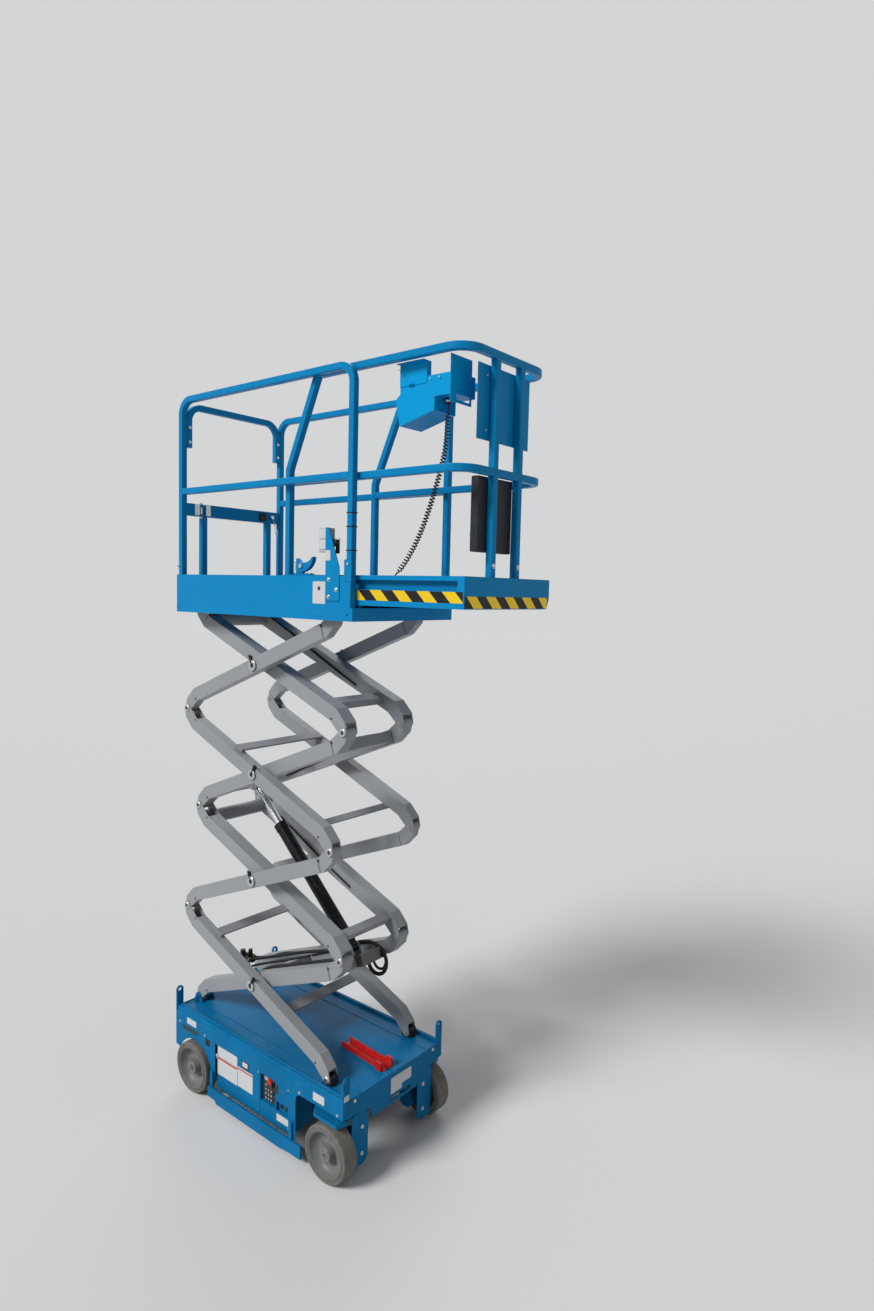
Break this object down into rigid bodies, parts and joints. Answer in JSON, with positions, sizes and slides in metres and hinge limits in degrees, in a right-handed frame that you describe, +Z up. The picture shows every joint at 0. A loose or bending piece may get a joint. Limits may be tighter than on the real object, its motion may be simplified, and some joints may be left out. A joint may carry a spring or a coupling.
{
  "type": "scissor lift",
  "caption": "Electric slab scissor lift with a multi-level linkage raised, a railed platform and its slide-out deck drawn out, on solid grey wheels.",
  "frame": {"origin": "on the floor, under the middle of the whole machine with its slide-out deck drawn out", "axes": "+X forward towards the steered wheels, +Y to the left, away from the side with the ground controls, +Z up"},
  "size_m": [2.016, 0.81, 3.9578],
  "materials": {
    "blue_paint": "satin",
    "arm_paint": "satin",
    "black_paint": "satin",
    "red_paint": "satin",
    "grey_tyre": "matt",
    "rim_paint": "satin",
    "cylinder_black": "gloss",
    "rod_chrome": "polished",
    "pad_plastic": "matt",
    "hose_rubber": "matt",
    "valve_metal": "machined",
    "rail_paint": "satin",
    "box_paint": "satin",
    "case_plastic": "satin",
    "outlet_grey": "satin",
    "cord_rubber": "matt"
  },
  "bodies": {
    "chassis": {"chassis_frame": "blue_paint", "side_rails": "blue_paint", "frame_beams": "blue_paint", "pivot_brackets": "blue_paint", "side_module_near": "blue_paint", "side_module_far": "blue_paint", "power_block": "black_paint", "ground_panel": "box_paint", "rear_axle": "black_paint", "kingpin_housings": "blue_paint", "safety_arm": "red_paint"},
    "guard_near_bar": {"guard_near": "blue_paint"},
    "guard_far_bar": {"guard_far": "blue_paint"},
    "wheel_rear_near": {"rim_rear_near": "rim_paint", "tyre_rear_near": "grey_tyre"},
    "wheel_rear_far": {"rim_rear_far": "rim_paint", "tyre_rear_far": "grey_tyre"},
    "wheel_front_near": {"rim_front_near": "rim_paint", "tyre_front_near": "grey_tyre"},
    "wheel_front_far": {"rim_front_far": "rim_paint", "tyre_front_far": "grey_tyre"},
    "steer_near": {"yoke_near": "blue_paint"},
    "steer_far": {"yoke_far": "blue_paint"},
    "steer_link": {"tie_rod": "black_paint"},
    "inner_1": {"inner_arms_1": "arm_paint", "inner_ties_1": "arm_paint", "valve_block": "valve_metal", "hose_bundle": "hose_rubber"},
    "outer_1": {"outer_arms_1": "arm_paint", "outer_ties_1": "arm_paint"},
    "inner_2": {"inner_arms_2": "arm_paint", "inner_ties_2": "arm_paint"},
    "outer_2": {"outer_arms_2": "arm_paint"},
    "inner_3": {"inner_arms_3": "arm_paint", "inner_ties_3": "arm_paint"},
    "outer_3": {"outer_arms_3": "arm_paint", "outer_ties_3": "arm_paint"},
    "inner_4": {"inner_arms_4": "arm_paint", "inner_ties_4": "arm_paint"},
    "outer_4": {"outer_arms_4": "arm_paint"},
    "pads_low": {"lower_pads": "pad_plastic"},
    "pads_high": {"upper_pads": "pad_plastic"},
    "cylinder_barrel": {"lift_barrel": "cylinder_black"},
    "cylinder_rod": {"lift_rod": "rod_chrome"},
    "platform": {"platform_deck": "blue_paint", "main_rails": "rail_paint", "rear_hoop": "rail_paint", "outlet_bracket": "blue_paint", "outlet_box": "outlet_grey"},
    "gate": {"swing_gate": "rail_paint"},
    "extension": {"extension_deck": "blue_paint", "extension_rails": "rail_paint", "control_box": "rail_paint", "manual_box": "case_plastic", "front_sheet": "blue_paint", "foot_pedal": "rail_paint", "cord_gland": "case_plastic", "cord_socket": "case_plastic", "coil_cord": "cord_rubber"}
  },
  "joints": [
    {"name": "lift", "type": "hinge", "parent": "chassis", "child": "inner_1", "pos_m": [-0.9685, 0, 0.468], "axis": [0, -1, 0], "range_deg": [-21.61, 43.98]},
    {"name": "cross_1", "type": "hinge", "parent": "inner_1", "child": "outer_1", "pos_m": [-0.3718, 0, 0.75929], "axis": [0, -1, 0], "range_deg": [-88.01, 43.27]},
    {"name": "chain_12", "type": "hinge", "parent": "inner_1", "child": "inner_2", "pos_m": [0.2249, 0, 1.05057], "axis": [0, -1, 0], "range_deg": [-88.01, 43.27]},
    {"name": "cross_2", "type": "hinge", "parent": "inner_2", "child": "outer_2", "pos_m": [-0.3718, 0, 1.34186], "axis": [0, -1, 0], "range_deg": [-43.27, 88.01]},
    {"name": "chain_23", "type": "hinge", "parent": "inner_2", "child": "inner_3", "pos_m": [-0.9685, 0, 1.63315], "axis": [0, -1, 0], "range_deg": [-43.27, 88.01]},
    {"name": "cross_3", "type": "hinge", "parent": "inner_3", "child": "outer_3", "pos_m": [-0.3718, 0, 1.92443], "axis": [0, -1, 0], "range_deg": [-88.01, 43.27]},
    {"name": "chain_34", "type": "hinge", "parent": "inner_3", "child": "inner_4", "pos_m": [0.2249, 0, 2.21572], "axis": [0, -1, 0], "range_deg": [-88.01, 43.27]},
    {"name": "cross_4", "type": "hinge", "parent": "inner_4", "child": "outer_4", "pos_m": [-0.3718, 0, 2.50701], "axis": [0, -1, 0], "range_deg": [-43.27, 88.01]},
    {"name": "level", "type": "hinge", "parent": "inner_4", "child": "platform", "pos_m": [-0.9685, 0, 2.79829], "axis": [0, -1, 0], "range_deg": [-21.66, 44.03]},
    {"name": "pad_low", "type": "hinge", "parent": "outer_1", "child": "pads_low", "pos_m": [0.2249, 0, 0.468], "axis": [0, -1, 0], "range_deg": [-21.66, 44.03]},
    {"name": "pad_high", "type": "hinge", "parent": "outer_4", "child": "pads_high", "pos_m": [0.2249, 0, 2.79829], "axis": [0, -1, 0], "range_deg": [-44.03, 21.66]},
    {"name": "barrel_tilt", "type": "hinge", "parent": "inner_1", "child": "cylinder_barrel", "pos_m": [0.06717, 0, 0.99984], "axis": [0, -1, 0], "range_deg": [-89.55, 44.03]},
    {"name": "rod_stroke", "type": "slide", "parent": "cylinder_barrel", "child": "cylinder_rod", "axis": [-0.7358, 0, 0.6772], "range_m": [-0.25465, 0.51818]},
    {"name": "deck_slide", "type": "slide", "parent": "platform", "child": "extension", "axis": [1, 0, 0], "range_m": [-0.6, 0]},
    {"name": "gate_swing", "type": "hinge", "parent": "platform", "child": "gate", "pos_m": [-0.979, -0.23, 3.312], "axis": [0, 0, -1], "range_deg": [0, 90]},
    {"name": "steering", "type": "hinge", "parent": "chassis", "child": "steer_near", "pos_m": [0.294, -0.255, 0.392], "axis": [0, 0, 1], "range_deg": [-45, 45]},
    {"name": "steering_far", "type": "hinge", "parent": "chassis", "child": "steer_far", "pos_m": [0.294, 0.255, 0.392], "axis": [0, 0, 1], "range_deg": [-45.05, 45.05]},
    {"name": "steering_link", "type": "hinge", "parent": "steer_near", "child": "steer_link", "pos_m": [0.204, -0.255, 0.297], "axis": [0, 0, 1], "range_deg": [-45.05, 45.05]},
    {"name": "guards", "type": "slide", "parent": "chassis", "child": "guard_near_bar", "axis": [0, 0, 1], "range_m": [0, 0.062]},
    {"name": "guards_far", "type": "slide", "parent": "chassis", "child": "guard_far_bar", "axis": [0, 0, 1], "range_m": [-0.00005, 0.06205]},
    {"name": "roll_rear_near", "type": "hinge", "parent": "chassis", "child": "wheel_rear_near", "pos_m": [-0.82, -0.405, 0.145], "axis": [0, 1, 0], "continuous": true},
    {"name": "roll_rear_far", "type": "hinge", "parent": "chassis", "child": "wheel_rear_far", "pos_m": [-0.82, 0.405, 0.145], "axis": [0, 1, 0], "continuous": true},
    {"name": "roll_front_near", "type": "hinge", "parent": "steer_near", "child": "wheel_front_near", "pos_m": [0.294, -0.405, 0.145], "axis": [0, 1, 0], "continuous": true},
    {"name": "roll_front_far", "type": "hinge", "parent": "steer_far", "child": "wheel_front_far", "pos_m": [0.294, 0.405, 0.145], "axis": [0, 1, 0], "continuous": true}
  ],
  "couplings": [
    {"joint": "cross_1", "follows": "lift", "ratio": -2},
    {"joint": "chain_12", "follows": "lift", "ratio": -2},
    {"joint": "cross_2", "follows": "lift", "ratio": 2},
    {"joint": "chain_23", "follows": "lift", "ratio": 2},
    {"joint": "cross_3", "follows": "lift", "ratio": -2},
    {"joint": "chain_34", "follows": "lift", "ratio": -2},
    {"joint": "cross_4", "follows": "lift", "ratio": 2},
    {"joint": "level", "follows": "lift", "ratio": 1},
    {"joint": "pad_low", "follows": "lift", "ratio": 1},
    {"joint": "pad_high", "follows": "lift", "ratio": -1},
    {"joint": "barrel_tilt", "follows": "lift", "ratio": -2.035},
    {"joint": "rod_stroke", "follows": "lift", "m_per_rad": 0.675},
    {"joint": "steering_far", "follows": "steering", "ratio": 1},
    {"joint": "steering_link", "follows": "steering", "ratio": -1},
    {"joint": "guards_far", "follows": "guards", "ratio": 1}
  ]
}
